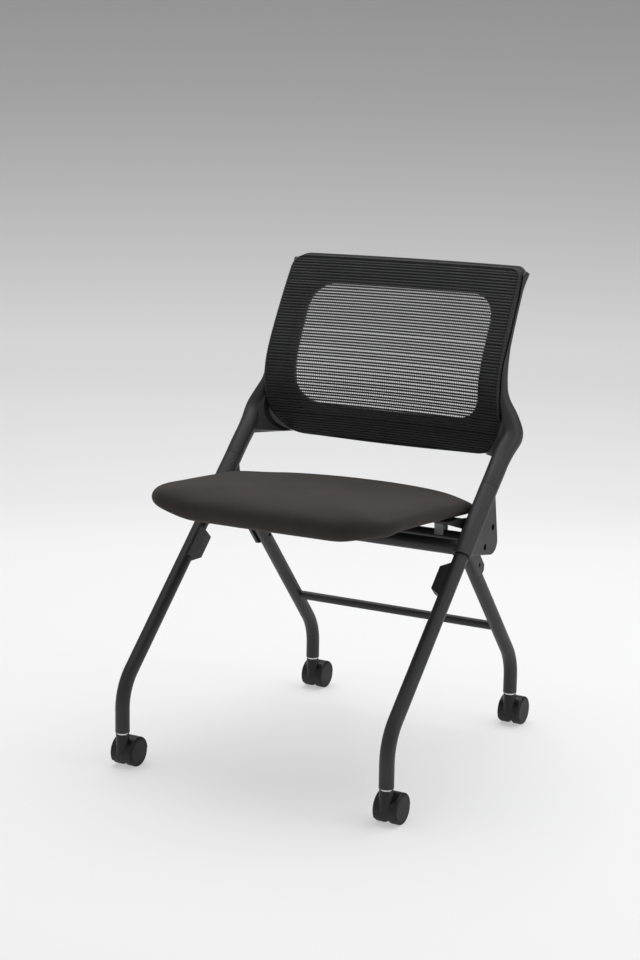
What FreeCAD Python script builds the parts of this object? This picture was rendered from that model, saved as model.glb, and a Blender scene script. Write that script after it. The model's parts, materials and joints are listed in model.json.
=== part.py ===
import FreeCAD, Part
import math
import os

# Nesting chair with a flip-up seat, a mesh back and four twin-wheel casters.
# Millimetres. +Z is up, the sitter faces -Y, and +X is the sitter's left.
# The origin lies on the floor under the middle of the chair.

V = FreeCAD.Vector

# Stance
WHEELBASE = 572.0            # front caster stems to rear caster stems
CASTER_HEIGHT = 66.0         # floor to the lower end of a leg tube

# Leg tubes
TUBE_D = 25.0
TUBE_WALL = 1.8
LEG_BEND_R = 90.0            # bend radius on the tube's centre line
FRONT_BEND_Z = 142.0         # height of the front leg's bend corner
REAR_BEND_Z = 127.5
FRONT_RAKE = 45.0            # degrees above level, front leg and upright in one line

# Side brackets
SLEEVE_D = 32.0
SLEEVE_LENGTH = 140.0
SEAM_GAP = 0.6               # joint line between the bracket and the upright
SEAM_RUN = 495.0             # from the front bend corner to the seam with the upright
LEG_INSERTION = 82.0         # front leg inside the sleeve
SLIDE_FIT = 0.1              # radial room of a tube in its sleeve
PLATE_THICK = 28.0
PLATE_REACH = 97.0           # sleeve axis to the plate's sharp corner
PLATE_NOSE_R = 22.0
PLATE_EDGE_R = 3.0
PLATE_FOOT = 2.0             # plate's ends, in from the sleeve's ends
SEAT_CLEAR = 7.0             # seat's side to the bracket
EAR_ROOM = 14.5              # between the bracket and the lug, for the seat's ear
POCKET_WALL = 6.0
POCKET_FLOOR = 8.0
BOLT_BOSS_R = 12.0
BOLT_OUT = 40.3              # sleeve axis to the bolt line
BOLT_ALONG = 68.0            # sleeve's lower end to the middle of the bolts
BOLT_PITCH = 41.5
BOLT_D = 8.0
BOLT_HEAD_D = 11.0
BOLT_HEAD_H = 7.0
KEY_ACROSS = 6.0             # hexagon socket in the bolt head
BOLT_RECESS = 17.0           # head recess below the plate's outer face
BOLT_CLEARANCE = 0.2         # radial

# Rear leg lugs
LUG_THICK = 6.0
LUG_WELD = 1.0               # lug let into the tube wall
LUG_HALF = 13.0
LUG_EYE_R = 11.0             # round of the lug about each bolt
LUG_LENGTH = 109.0           # bolt line to the lug's lower end
LUG_CHAMFER = 7.0
LEG_TOP_GAP = 26.0           # tube end below the bolt line
LINK_HOLE_D = 7.0
LINK_HOLE_UP = 21.0          # above the lug's lower end
SPACER_D = 20.0
NUT_ACROSS = 13.0
NUT_HEIGHT = 6.5

# Cross members
CROSSBAR_D = 16.0
CROSSBAR_RUN = 102.0         # along the rear leg from its bend corner
BEAM_D = 25.0
BEAM_WALL = 2.0
BEAM_ALONG = 15.0            # along the sleeve from its lower end
REST_BAR_D = 16.0
REST_BAR_ALONG = 47.0        # along the sleeve from its lower end
REST_BAR_OUT = 15.5          # off the sleeve's axis

# Nesting bumpers on the front legs
BUMPER_BELOW = 15.0          # bumper's upper end below the sleeve
BUMPER_LENGTH = 74.0
BUMPER_TAPER = 15.0
BUMPER_WIDTH = 18.0
BUMPER_OUT = 13.5            # beyond the tube

# Casters
WHEEL_D = 50.0
WHEEL_OUT = 21.5             # caster middle to a wheel's outer face
WHEEL_EDGE_R = 2.5
WHEEL_GROOVE_R = 20.5
WHEEL_GROOVE = 0.8           # width and depth of the groove in the wheel disc
TRAIL = 19.0
HOOD_R = 27.5
HOOD_HALF = 20.5
HOOD_EDGE_R = 2.0
HOOD_GAP = 0.8               # hood to tread
HOOD_FRONT_Z = 9.0           # lower edge of the hood, front and rear
HOOD_REAR_Z = 27.0
WEB_THICK = 8.4
WHEEL_SIDE_GAP = 0.5
BOSS_D = 23.0
COLLAR_D = 20.0
COLLAR_HEIGHT = 3.2
STEM_D = 11.0
STEM_INSERTION = 28.0
STEM_ROOT = 10.0             # stem inside the hood
SOCKET_SPARE = 2.0           # socket's bore beyond the stem's end
AXLE_D = 6.0
AXLE_REACH = 17.0
SOCKET_FLANGE = 2.0
RUNNING_FIT = 0.05           # radial room of a shaft in its bearing
FACE_GAP = 0.3               # room between faces that move past each other

# Seat, measured from the pivot axis along the seat and square to it
SEAT_TILT = 4.1              # degrees, rear edge lower
SEAT_WIDTH = 472.0
SEAT_AHEAD = 331.0           # seat in front of the pivot
SEAT_BEHIND = 119.0
SEAT_RISE = 17.5             # pivot axis to the lower edge of the seat's sides
SEAT_SIDE = 20.0             # height of the seat's side
SEAT_CROWN = 29.0            # seat's middle above the lower edge of its sides
FRONT_LIP = 21.0             # front edge's underside below the lower edge of the sides
SEAT_FRONT_R = 1800.0        # bow of the front edge
SEAT_REAR_R = 350.0
FRONT_CORNER_R = 48.0
REAR_CORNER_R = 90.0
PAN_INSET = 24.0             # board inside the cushion's outline at the sides
PAN_FRONT_INSET = 150.0
PAN_REAR_INSET = 34.0
PAN_DROP = 2.0               # board's underside below the lower edge of the sides
PAN_THICK = 8.0
PAN_FRONT_CORNER = 30.0
PAN_REAR_CORNER = 85.0
SOFT_GAP = 0.3               # room beside soft pieces and curved sheets

# Cushion's sections from below: insets at the sides, front and rear, then the shares of the
# side's height and of the crown above it
PAD_SECTIONS = [(3.0, 0.0, 12.0, 0.0, 0.0), (0.0, 0.0, 0.0, 0.5, 0.0), (3.0, 3.0, 4.0, 1.0, 0.0),
                (26.0, 26.0, 34.0, 1.0, 0.65), (90.0, 90.0, 100.0, 1.0, 1.0)]

# The front lip's sections from below: the same insets, then the share of the lip's drop
LIP_SECTIONS = [(66.0, 14.0, 300.0, 1.0), (36.0, 4.0, 270.0, 0.72), (13.0, 0.5, 230.0, 0.32),
                (5.0, 0.5, 180.0, -0.24)]

# Seat hinges
EAR_THICK = 6.0
EAR_R = 13.0
ARM_DEPTH = 18.0             # ear's arm from its upper edge down
FLANGE_START = 44.0          # flange in front of the pivot, nearer and farther end
FLANGE_END = 104.0
FLANGE_WIDTH = 72.0
FLANGE_THICK = 4.0
BUSH_D = 14.0
SCREW_D = 4.0
SCREW_HEAD_D = 8.0
SCREW_HEAD_H = 2.5
SCREW_BITE = 5.0             # hinge screw in the board
CARRIER_BITE = 4.0           # carrier screw in the carrier
SCREW_SUNK = 1.0             # carrier screw's head below the frame's rear face
SCREW_SPREAD = 0.75          # outer carrier screws, as a share of the window's half width
PAD_INSIDE = 42.75           # stop pad's middle inside the ear
PAD_WIDTH = 16.0
PAD_LENGTH = 20.0

# Back
BACK_INSIDE = 27.0           # panel's upper corners inside the line of the legs
BACK_SPREAD = 8.0            # lower corners wider by
BACK_SAG = 19.0              # panel's middle behind its side edges
PANEL_LOW = 36.0             # lower corners of the panel above the seam
PANEL_HIGH = 358.5
PANEL_LOW_R = 62.0
PANEL_HIGH_R = 20.0
LOWER_BOW = 9.0              # lower edge's middle below its corners
LOWER_BOW_R = 2600.0
WINDOW_BORDER = 44.0         # beside the window
WINDOW_LOW = 97.0            # window's lower edge above the seam
WINDOW_HIGH = 310.0
WINDOW_R = 45.0
MESH_THICK = 1.2
CARRIER_THICK = 14.0
CARRIER_WIDTH = 33.0         # carrier's rim above the window
RING_THICK = 8.0
PANEL_GAP = 2.5              # groove between the panel and the frame
INSERT_LENGTH = 90.0         # tube that joins an upright to its bracket
RAIL_SETBACK = 17.5          # rail's middle behind the panel's front
WEB_BEHIND = 45.0            # corner web's end behind the panel, from its upper corner's line
WEB_HIGH = 112.0             # its upper edge there, above the seam
WEB_HALF = 8.0               # half its thickness inside the upright
WEB_LIP = 18.0               # frame's ring beyond the panel, behind the groove at the web

# Panel's front at its side edges: rise above the seam, set back behind the seam
BACK_PROFILE = [(10.0, 123.0), (36.0, 110.0), (60.0, 98.5), (80.0, 89.0), (102.0, 80.5),
                (125.0, 74.0), (148.0, 71.0), (171.0, 73.5), (215.0, 89.0), (261.0, 111.5),
                (303.0, 134.0), (344.0, 158.0), (375.0, 179.0)]

# Upright from the seam to the waist: rise, set back, flare beyond the leg, half width and
# half depth
UPRIGHT = [(0.0, 0.0, 0.0, 16.0, 16.0), (34.0, 34.0, 0.5, 16.2, 16.4),
           (64.0, 67.0, 2.5, 17.5, 18.5), (86.0, 86.0, 2.5, 17.5, 20.0),
           (113.0, 91.0, -8.0, 13.5, 17.5), (143.0, 91.0, -20.5, 10.0, 14.0)]

# Rail behind the panel's edge: rise, beyond the edge, half width and half depth
RAIL = [(173.0, -1.0, 9.0, 12.0), (215.0, -3.5, 8.0, 10.5), (261.0, -5.0, 7.5, 10.0),
        (303.0, -5.0, 7.5, 9.5), (335.0, -2.0, 7.0, 9.0), (351.0, 4.5, 4.0, 5.0)]

# Lower and upper end of the corner web inside the upright: rise, set back
WEB_ROOT = [(41.0, 41.0), (105.0, 90.0)]


# Places that several pieces share
TUBE_R = TUBE_D / 2
SLEEVE_R = SLEEVE_D / 2
PLATE_INNER_X = SEAT_WIDTH / 2 + SEAT_CLEAR
PLATE_OUTER_X = PLATE_INNER_X + PLATE_THICK
FRONT_X = PLATE_INNER_X + PLATE_THICK / 2
LUG_OUTER_X = PLATE_INNER_X - EAR_ROOM
LUG_INNER_X = LUG_OUTER_X - LUG_THICK
REAR_X = LUG_INNER_X + LUG_WELD - TUBE_R
BACK_HALF = FRONT_X - BACK_INSIDE
WINDOW_HALF = BACK_HALF - WINDOW_BORDER
WEB_INNER_X = BACK_HALF - WEB_BEHIND
FRONT_Y = (TUBE_R - TRAIL - HOOD_R - WHEELBASE) / 2
REAR_Y = FRONT_Y + WHEELBASE
RAKE = math.radians(FRONT_RAKE)
UP_LEG = V(0, math.cos(RAKE), math.sin(RAKE))
OFF_LEG = V(0, math.sin(RAKE), -math.cos(RAKE))
FRONT_CORNER_POINT = V(FRONT_X, FRONT_Y, FRONT_BEND_Z)
SEAM = FRONT_CORNER_POINT + UP_LEG * SEAM_RUN
SLEEVE_FOOT = SEAM - UP_LEG * SLEEVE_LENGTH
BOLT_MIDDLE = SLEEVE_FOOT + UP_LEG * BOLT_ALONG + OFF_LEG * BOLT_OUT
PIVOT = BOLT_MIDDLE + UP_LEG * (BOLT_PITCH / 2)
LOWER_BOLT = BOLT_MIDDLE - UP_LEG * (BOLT_PITCH / 2)
REAR_CORNER_POINT = V(REAR_X, REAR_Y, REAR_BEND_Z)
REAR_RUN = V(0, BOLT_MIDDLE.y - REAR_Y, BOLT_MIDDLE.z - REAR_BEND_Z)
UP_REAR = V(REAR_RUN).normalize()
ACROSS_REAR = V(0, UP_REAR.z, -UP_REAR.y)
RECESS_X = PLATE_OUTER_X - BOLT_RECESS
BEAM = SLEEVE_FOOT + UP_LEG * BEAM_ALONG
REST_BAR = SLEEVE_FOOT + UP_LEG * REST_BAR_ALONG + OFF_LEG * REST_BAR_OUT
EAR_MIDDLE_X = (LUG_OUTER_X + PLATE_INNER_X) / 2
EAR_INNER_X = EAR_MIDDLE_X - EAR_THICK / 2
EAR_OUTER_X = EAR_MIDDLE_X + EAR_THICK / 2
BOSS_TOP = CASTER_HEIGHT - SOCKET_FLANGE - FACE_GAP - COLLAR_HEIGHT
PAN_LOW = SEAT_RISE - PAN_DROP
FLANGE_LOW = PAN_LOW - FLANGE_THICK
CARRIER_NEAR = MESH_THICK + SOFT_GAP
CARRIER_FAR = CARRIER_NEAR + CARRIER_THICK
RING_NEAR = CARRIER_FAR + SOFT_GAP
RING_FAR = RING_NEAR + RING_THICK
SIDES = {"left": 1, "right": -1}


def rod(start, direction, radius, length):
    """Round bar from a point along a direction."""
    return Part.makeCylinder(radius, length, start, direction)


def x_rod(x0, x1, y, z, radius):
    """Round bar along X."""
    return rod(V(x0, y, z), V(1, 0, 0), radius, x1 - x0)


def arc(p, q, r):
    """Arc through three points."""
    return Part.Arc(p, q, r).toShape()


def line(p, q):
    return Part.LineSegment(p, q).toShape()


def polygon(points):
    return Part.makePolygon(points + points[:1])


def prism(wire, along):
    return Part.Face(wire).extrude(along)


def mirrored(shape, side):
    """A piece made on the left, put on the named side."""
    return shape if SIDES[side] > 0 else shape.mirror(V(0, 0, 0), V(1, 0, 0))


def both(shape):
    """A piece made on the left and its mirror image."""
    return Part.makeCompound([mirrored(shape, side) for side in SIDES])


def rounded(before, corner, after, radius):
    """First, middle and last point of the arc that rounds a corner."""
    a = (before - corner).normalize()
    b = (after - corner).normalize()
    half = a.getAngle(b) / 2
    reach = radius / math.tan(half)
    middle = corner + (a + b).normalize() * (radius / math.sin(half) - radius)
    return corner + a * reach, middle, corner + b * reach


def bent_tube(start, corner, end, bend_r, radius):
    """Solid round bar with one bend."""
    first, middle, last = rounded(start, corner, end, bend_r)
    path = Part.Wire([line(start, first), arc(first, middle, last), line(last, end)])
    ring = Part.Wire(Part.makeCircle(radius, start, corner - start))
    return path.makePipeShell([ring], True, False)


def hollow(start, corner, end):
    """Leg tube with its wall."""
    outer = bent_tube(start, corner, end, LEG_BEND_R, TUBE_R)
    return outer.cut(bent_tube(start, corner, end, LEG_BEND_R, TUBE_R - TUBE_WALL))


def sleeve_core(radius):
    """Round bar along the whole sleeve."""
    return rod(SLEEVE_FOOT, UP_LEG, radius, SLEEVE_LENGTH)


def front_leg():
    start = V(FRONT_X, FRONT_Y, CASTER_HEIGHT)
    return hollow(start, FRONT_CORNER_POINT, SLEEVE_FOOT + UP_LEG * LEG_INSERTION)


def bracket_outline(inset):
    """Corners of the bracket's plate in the leg's plane, drawn in by an inset."""
    low = SLEEVE_FOOT + UP_LEG * (PLATE_FOOT + inset * 2)
    high = SEAM - UP_LEG * (PLATE_FOOT + inset * 2)
    corner = SLEEVE_FOOT + UP_LEG * (SLEEVE_LENGTH / 2) + OFF_LEG * (PLATE_REACH - inset * 2)
    return low, corner, high


def bracket_plate(inset, nose_r, x, thick):
    """Tapered plate with a round nose, from x inwards to outwards."""
    low, corner, high = (V(x, p.y, p.z) for p in bracket_outline(inset))
    first, middle, last = rounded(low, corner, high, nose_r)
    edges = [line(low, first), arc(first, middle, last), line(last, high), line(high, low)]
    return prism(Part.Wire(edges), V(thick, 0, 0))


def bracket_bolts():
    return [PIVOT, LOWER_BOLT]


def side_bracket():
    """Sleeve and tapered plate in one casting, open towards the seat."""
    plate = bracket_plate(0, PLATE_NOSE_R, PLATE_INNER_X, PLATE_THICK)
    outline = [e for e in plate.Edges if abs(abs(e.CenterOfMass.x - FRONT_X) - PLATE_THICK / 2) < 1e-6]
    chord = SLEEVE_FOOT + UP_LEG * (SLEEVE_LENGTH / 2)
    rims = [e for e in outline if abs((e.CenterOfMass - chord).dot(OFF_LEG)) > PLATE_EDGE_R]
    plate = plate.makeFillet(PLATE_EDGE_R, rims)
    pocket_depth = PLATE_THICK - POCKET_FLOOR
    pocket = bracket_plate(POCKET_WALL, PLATE_NOSE_R - POCKET_WALL, PLATE_INNER_X, pocket_depth)
    pocket = pocket.cut(sleeve_core(SLEEVE_R))
    for boss in bracket_bolts() + [REST_BAR]:
        pocket = pocket.cut(x_rod(PLATE_INNER_X, PLATE_OUTER_X, boss.y, boss.z, BOLT_BOSS_R))
    body = plate.cut(pocket).fuse(sleeve_core(SLEEVE_R))
    body = body.cut(sleeve_core(TUBE_R + SLIDE_FIT))
    for bolt in bracket_bolts():
        head = x_rod(RECESS_X, PLATE_OUTER_X, bolt.y, bolt.z, BOLT_HEAD_D / 2 + BOLT_CLEARANCE)
        shank = x_rod(PLATE_INNER_X, RECESS_X, bolt.y, bolt.z, BOLT_D / 2 + BOLT_CLEARANCE)
        body = body.cut(head).cut(shank)
    return body.removeSplitter()


def along_rear(along, across, x):
    """Point beside the rear leg, measured from its bend corner."""
    p = REAR_CORNER_POINT + UP_REAR * along + ACROSS_REAR * across
    return V(x, p.y, p.z)


def link_hole():
    """Bar that drills the lug and both of the tube's walls."""
    place = along_rear(REAR_RUN.Length - LUG_LENGTH + LINK_HOLE_UP, 0, 0)
    return x_rod(REAR_X - TUBE_D, LUG_OUTER_X, place.y, place.z, LINK_HOLE_D / 2)


def rear_leg_lug():
    """Plate on the rear leg's top, widening to an eye about each bolt."""
    bolt_run = REAR_RUN.Length
    low = bolt_run - LUG_LENGTH
    right = [(low, LUG_HALF - LUG_CHAMFER), (low + LUG_CHAMFER, LUG_HALF), (bolt_run - LUG_EYE_R, LUG_HALF)]
    left = [(along, -across) for along, across in reversed(right)]
    corners = [along_rear(along, across, LUG_INNER_X) for along, across in right + left]
    lug = prism(polygon(corners), V(LUG_THICK, 0, 0))
    band = []
    for bolt, out in [(PIVOT, -1), (PIVOT, 1), (LOWER_BOLT, 1), (LOWER_BOLT, -1)]:
        p = bolt + OFF_LEG * (out * LUG_EYE_R)
        band.append(V(LUG_INNER_X, p.y, p.z))
    lug = lug.fuse(prism(polygon(band), V(LUG_THICK, 0, 0)))
    for bolt in bracket_bolts():
        lug = lug.fuse(x_rod(LUG_INNER_X, LUG_OUTER_X, bolt.y, bolt.z, LUG_EYE_R))
    for bolt in bracket_bolts():
        lug = lug.cut(x_rod(LUG_INNER_X, LUG_OUTER_X, bolt.y, bolt.z, BOLT_D / 2 + BOLT_CLEARANCE))
    return lug.cut(link_hole()).removeSplitter()


def rear_leg():
    start = V(REAR_X, REAR_Y, CASTER_HEIGHT)
    end = along_rear(REAR_RUN.Length - LEG_TOP_GAP, 0, REAR_X)
    return hollow(start, REAR_CORNER_POINT, end).cut(rear_leg_lug()).cut(link_hole())


def rear_crossbar():
    place = along_rear(CROSSBAR_RUN, 0, 0)
    bar = x_rod(-REAR_X, REAR_X, place.y, place.z, CROSSBAR_D / 2)
    start = V(REAR_X, REAR_Y, CASTER_HEIGHT)
    leg = bent_tube(start, REAR_CORNER_POINT, along_rear(REAR_RUN.Length, 0, REAR_X), LEG_BEND_R, TUBE_R)
    return bar.cut(both(leg))


def between_brackets(place, diameter, wall):
    """Tube between the brackets, its ends cut to their shape."""
    tube = x_rod(-FRONT_X, FRONT_X, place.y, place.z, diameter / 2)
    tube = tube.cut(x_rod(-FRONT_X, FRONT_X, place.y, place.z, diameter / 2 - wall))
    pieces = tube.cut(both(side_bracket())).Solids
    return max(pieces, key=lambda piece: piece.Volume)


def seat_beam():
    return between_brackets(BEAM, BEAM_D, BEAM_WALL)


def rest_bar():
    return between_brackets(REST_BAR, REST_BAR_D, BEAM_WALL)


def leg_spacers():
    """Rings between the lugs and the brackets on the lower bolts."""
    ring = x_rod(LUG_OUTER_X, PLATE_INNER_X, LOWER_BOLT.y, LOWER_BOLT.z, SPACER_D / 2)
    hole = x_rod(LUG_OUTER_X, PLATE_INNER_X, LOWER_BOLT.y, LOWER_BOLT.z, BOLT_D / 2 + BOLT_CLEARANCE)
    return both(ring.cut(hole))


def hexagon(place, x, across):
    """Hexagon square to X, from its width across flats."""
    radius = across / 2 / math.cos(math.radians(30))
    corners = []
    for turn in range(6):
        angle = math.radians(60 * turn)
        corners.append(V(x, place.y + radius * math.cos(angle), place.z + radius * math.sin(angle)))
    return polygon(corners)


def recessed_bolt(place):
    """Socket bolt in the bracket's recess, reaching through the lug and its nut."""
    head = x_rod(RECESS_X, RECESS_X + BOLT_HEAD_H, place.y, place.z, BOLT_HEAD_D / 2)
    shank = x_rod(LUG_INNER_X - NUT_HEIGHT, RECESS_X, place.y, place.z, BOLT_D / 2)
    key_depth = BOLT_HEAD_H / 2
    key = prism(hexagon(place, RECESS_X + BOLT_HEAD_H - key_depth, KEY_ACROSS), V(key_depth, 0, 0))
    return head.fuse(shank).cut(key)


def pivot_bolts():
    return both(recessed_bolt(PIVOT))


def leg_bolts():
    return both(recessed_bolt(LOWER_BOLT))


def leg_nuts():
    pieces = []
    for bolt in bracket_bolts():
        nut = prism(hexagon(bolt, LUG_INNER_X - NUT_HEIGHT, NUT_ACROSS), V(NUT_HEIGHT, 0, 0))
        pieces.append(nut.cut(x_rod(LUG_INNER_X - NUT_HEIGHT, LUG_INNER_X, bolt.y, bolt.z, BOLT_D / 2)))
    return both(Part.makeCompound(pieces))


def nesting_bumper():
    """Tapered block on the inside of the front leg."""
    half = BUMPER_LENGTH / 2
    middle = SLEEVE_FOOT - UP_LEG * (BUMPER_BELOW + half) - OFF_LEG * (BUMPER_WIDTH / 2)
    outline = [(-half, 0), (-half + BUMPER_TAPER, TUBE_R + BUMPER_OUT),
               (half - BUMPER_TAPER, TUBE_R + BUMPER_OUT), (half, 0)]
    corners = [middle + UP_LEG * along - V(inward, 0, 0) for along, inward in outline]
    block = prism(polygon(corners), OFF_LEG * BUMPER_WIDTH)
    core = rod(FRONT_CORNER_POINT, UP_LEG, TUBE_R, SEAM_RUN)
    return block.cut(core)


def caster_sockets():
    """Plastic inserts that take the caster stems."""
    pieces = []
    for x, y in [(FRONT_X, FRONT_Y), (REAR_X, REAR_Y)]:
        plug = rod(V(x, y, CASTER_HEIGHT), V(0, 0, 1), TUBE_R - TUBE_WALL, STEM_INSERTION + SOCKET_SPARE)
        foot = V(x, y, CASTER_HEIGHT - SOCKET_FLANGE)
        flange = rod(foot, V(0, 0, 1), TUBE_R, SOCKET_FLANGE)
        bore = rod(foot, V(0, 0, 1), STEM_D / 2 + RUNNING_FIT, STEM_INSERTION + SOCKET_FLANGE + SOCKET_SPARE)
        pieces.append(plug.fuse(flange).cut(bore))
    return both(Part.makeCompound(pieces))


def turned(profile, centre):
    """Solid turned about the X axis through a centre, from (x, radius) edges."""
    wire = Part.Wire(profile)
    solid = Part.Face(wire).revolve(V(0, 0, 0), V(1, 0, 0), 360)
    return solid.translated(centre)


def drum(half, radius, edge_r):
    """Half section of a drum with rounded rims."""
    def p(x, r):
        return V(x, 0, r)
    low, low_mid, low_in = rounded(p(-half, 0), p(-half, radius), p(half, radius), edge_r)
    high_in, high_mid, high = rounded(p(-half, radius), p(half, radius), p(half, 0), edge_r)
    return [line(p(-half, 0), low), arc(low, low_mid, low_in), line(low_in, high_in),
            arc(high_in, high_mid, high), line(high, p(half, 0)), line(p(half, 0), p(-half, 0))]


def caster_hood(x, y):
    """Cover over both wheels with a middle web and the boss for the stem."""
    centre = V(x, y + TRAIL, WHEEL_D / 2)
    body = turned(drum(HOOD_HALF, HOOD_R, HOOD_EDGE_R), centre)
    body = body.fuse(rod(V(x, y, centre.z), V(0, 0, 1), BOSS_D / 2, BOSS_TOP - centre.z))
    well_r = WHEEL_D / 2 + HOOD_GAP
    for side in SIDES.values():
        x0, x1 = sorted([x + side * WEB_THICK / 2, x + side * (HOOD_HALF + 1)])
        body = body.cut(x_rod(x0, x1, centre.y, centre.z, well_r))
    front, rear = centre.y - HOOD_R - 1, centre.y + HOOD_R + 1
    left = x - HOOD_HALF - 1
    below = polygon([V(left, front, HOOD_FRONT_Z), V(left, rear, HOOD_REAR_Z), V(left, rear, -HOOD_R),
                     V(left, front, -HOOD_R)])
    body = body.cut(prism(below, V(2 * HOOD_HALF + 2, 0, 0)))
    body = body.cut(x_rod(x - HOOD_HALF, x + HOOD_HALF, centre.y, centre.z, AXLE_D / 2))
    return body.cut(rod(V(x, y, BOSS_TOP - STEM_ROOT), V(0, 0, 1), STEM_D / 2, STEM_ROOT))


def caster_stem(x, y):
    top = CASTER_HEIGHT + STEM_INSERTION
    root = BOSS_TOP - STEM_ROOT
    pin = rod(V(x, y, root), V(0, 0, 1), STEM_D / 2, top - root)
    return pin.fuse(rod(V(x, y, BOSS_TOP), V(0, 0, 1), COLLAR_D / 2, COLLAR_HEIGHT))


def caster_axle(x, y):
    return x_rod(x - AXLE_REACH, x + AXLE_REACH, y + TRAIL, WHEEL_D / 2, AXLE_D / 2)


def caster_wheel(x, y, side):
    """Twin wheel's half, with a closed outer disc and a blind bore."""
    inner = WEB_THICK / 2 + WHEEL_SIDE_GAP
    half = (WHEEL_OUT - inner) / 2
    centre = V(x + side * (inner + half), y + TRAIL, WHEEL_D / 2)
    wheel = turned(drum(half, WHEEL_D / 2, WHEEL_EDGE_R), centre)
    face = x + side * WHEEL_OUT
    x0, x1 = sorted([face, face - side * WHEEL_GROOVE])
    groove = x_rod(x0, x1, centre.y, centre.z, WHEEL_GROOVE_R + WHEEL_GROOVE)
    groove = groove.cut(x_rod(x0, x1, centre.y, centre.z, WHEEL_GROOVE_R))
    x0, x1 = sorted([x + side * inner, x + side * (AXLE_REACH + FACE_GAP)])
    bore = x_rod(x0, x1, centre.y, centre.z, AXLE_D / 2 + RUNNING_FIT)
    return wheel.cut(groove).cut(bore)


def seat_placed(shape):
    """A piece drawn level about the pivot, tilted and put in its place."""
    tilted = shape.copy()
    tilted.rotate(V(0, 0, 0), V(1, 0, 0), -SEAT_TILT)
    tilted.translate(V(0, PIVOT.y, PIVOT.z))
    return tilted


def seat_outline(side_inset, front_inset, rear_inset, height):
    """Seat's plan outline: bowed front and rear, four round corners, straight sides."""
    half = SEAT_WIDTH / 2 - side_inset
    shrink = half / (SEAT_WIDTH / 2)
    front, rear = -SEAT_AHEAD + front_inset, SEAT_BEHIND - rear_inset
    marks = []
    ends = [(front, SEAT_FRONT_R, FRONT_CORNER_R, 1), (rear, SEAT_REAR_R, REAR_CORNER_R, -1)]
    for end, bow, corner_r, turn in ends:
        r = corner_r * shrink
        centre = V(0, end + turn * bow, height)
        drop = math.sqrt((bow - r) ** 2 - (half - r) ** 2)
        eye = V(half - r, centre.y - turn * drop, height)
        touch = centre + (eye - centre) * (bow / (bow - r))
        diagonal = (touch + V(half, eye.y, height)) * 0.5 - eye
        middle = eye + diagonal.normalize() * r
        marks.append((V(0, end, height), touch, middle, V(half, eye.y, height)))
    (front_tip, f1, f2, f3), (rear_tip, r1, r2, r3) = marks

    def other(p):
        return V(-p.x, p.y, p.z)
    return Part.Wire([arc(other(f1), front_tip, f1), arc(f1, f2, f3), line(f3, r3), arc(r3, r2, r1),
                      arc(r1, rear_tip, other(r1)), arc(other(r1), other(r2), other(r3)),
                      line(other(r3), other(f3)), arc(other(f3), other(f2), other(f1))])


def pad_wire(side_inset, front_inset, rear_inset, side_share, crown_share):
    """One section of the pad."""
    height = SEAT_RISE + SEAT_SIDE * side_share + (SEAT_CROWN - SEAT_SIDE) * crown_share
    return seat_outline(side_inset, front_inset, rear_inset, height)


def lip_wire(side_inset, front_inset, rear_inset, drop_share):
    """One section of the lip under the seat's front."""
    return seat_outline(side_inset, front_inset, rear_inset, SEAT_RISE - FRONT_LIP * drop_share)


def pan_solid(grow, low, high):
    """Board with round corners, grown sideways by a gap."""
    half = SEAT_WIDTH / 2 - PAN_INSET + grow
    front = -SEAT_AHEAD + PAN_FRONT_INSET - grow
    rear = SEAT_BEHIND - PAN_REAR_INSET + grow
    corners = [(half, front, PAN_FRONT_CORNER), (half, rear, PAN_REAR_CORNER),
               (-half, rear, PAN_REAR_CORNER), (-half, front, PAN_FRONT_CORNER)]
    return prism(rounded_outline([(V(x, y, low), r) for x, y, r in corners]), V(0, 0, high - low))


def rounded_outline(corners):
    """Closed outline from (corner, radius) pairs."""
    count = len(corners)
    arcs = []
    for i, (corner, radius) in enumerate(corners):
        arcs.append(rounded(corners[i - 1][0], corner, corners[(i + 1) % count][0], radius))
    edges = []
    for i, (first, middle, last) in enumerate(arcs):
        edges.append(arc(first, middle, last))
        edges.append(line(last, arcs[(i + 1) % count][0]))
    return Part.Wire(edges)


def seat_cushion():
    """Crowned pad with a front lip, its underside let in for the board."""
    pad = Part.makeLoft([pad_wire(*section) for section in PAD_SECTIONS], True, False, False, 2)
    lip = Part.makeLoft([lip_wire(*section) for section in LIP_SECTIONS], True, True)
    room = pan_solid(SOFT_GAP, -SEAT_AHEAD, PAN_LOW + PAN_THICK + SOFT_GAP)
    return seat_placed(pad.fuse(lip).cut(room))


def hinge_screw_places():
    """Screws of the left hinge flange, about the pivot."""
    inner = EAR_OUTER_X - FLANGE_WIDTH
    ends = [-FLANGE_END + SCREW_HEAD_D, -FLANGE_START - SCREW_HEAD_D]
    return [(inner + SCREW_HEAD_D, y) for y in ends]


def seat_pan():
    pan = pan_solid(0, PAN_LOW, PAN_LOW + PAN_THICK)
    for x, y in hinge_screw_places():
        pan = pan.cut(both(rod(V(x, y, PAN_LOW), V(0, 0, 1), SCREW_D / 2, SCREW_BITE)))
    return seat_placed(pan)


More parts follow.
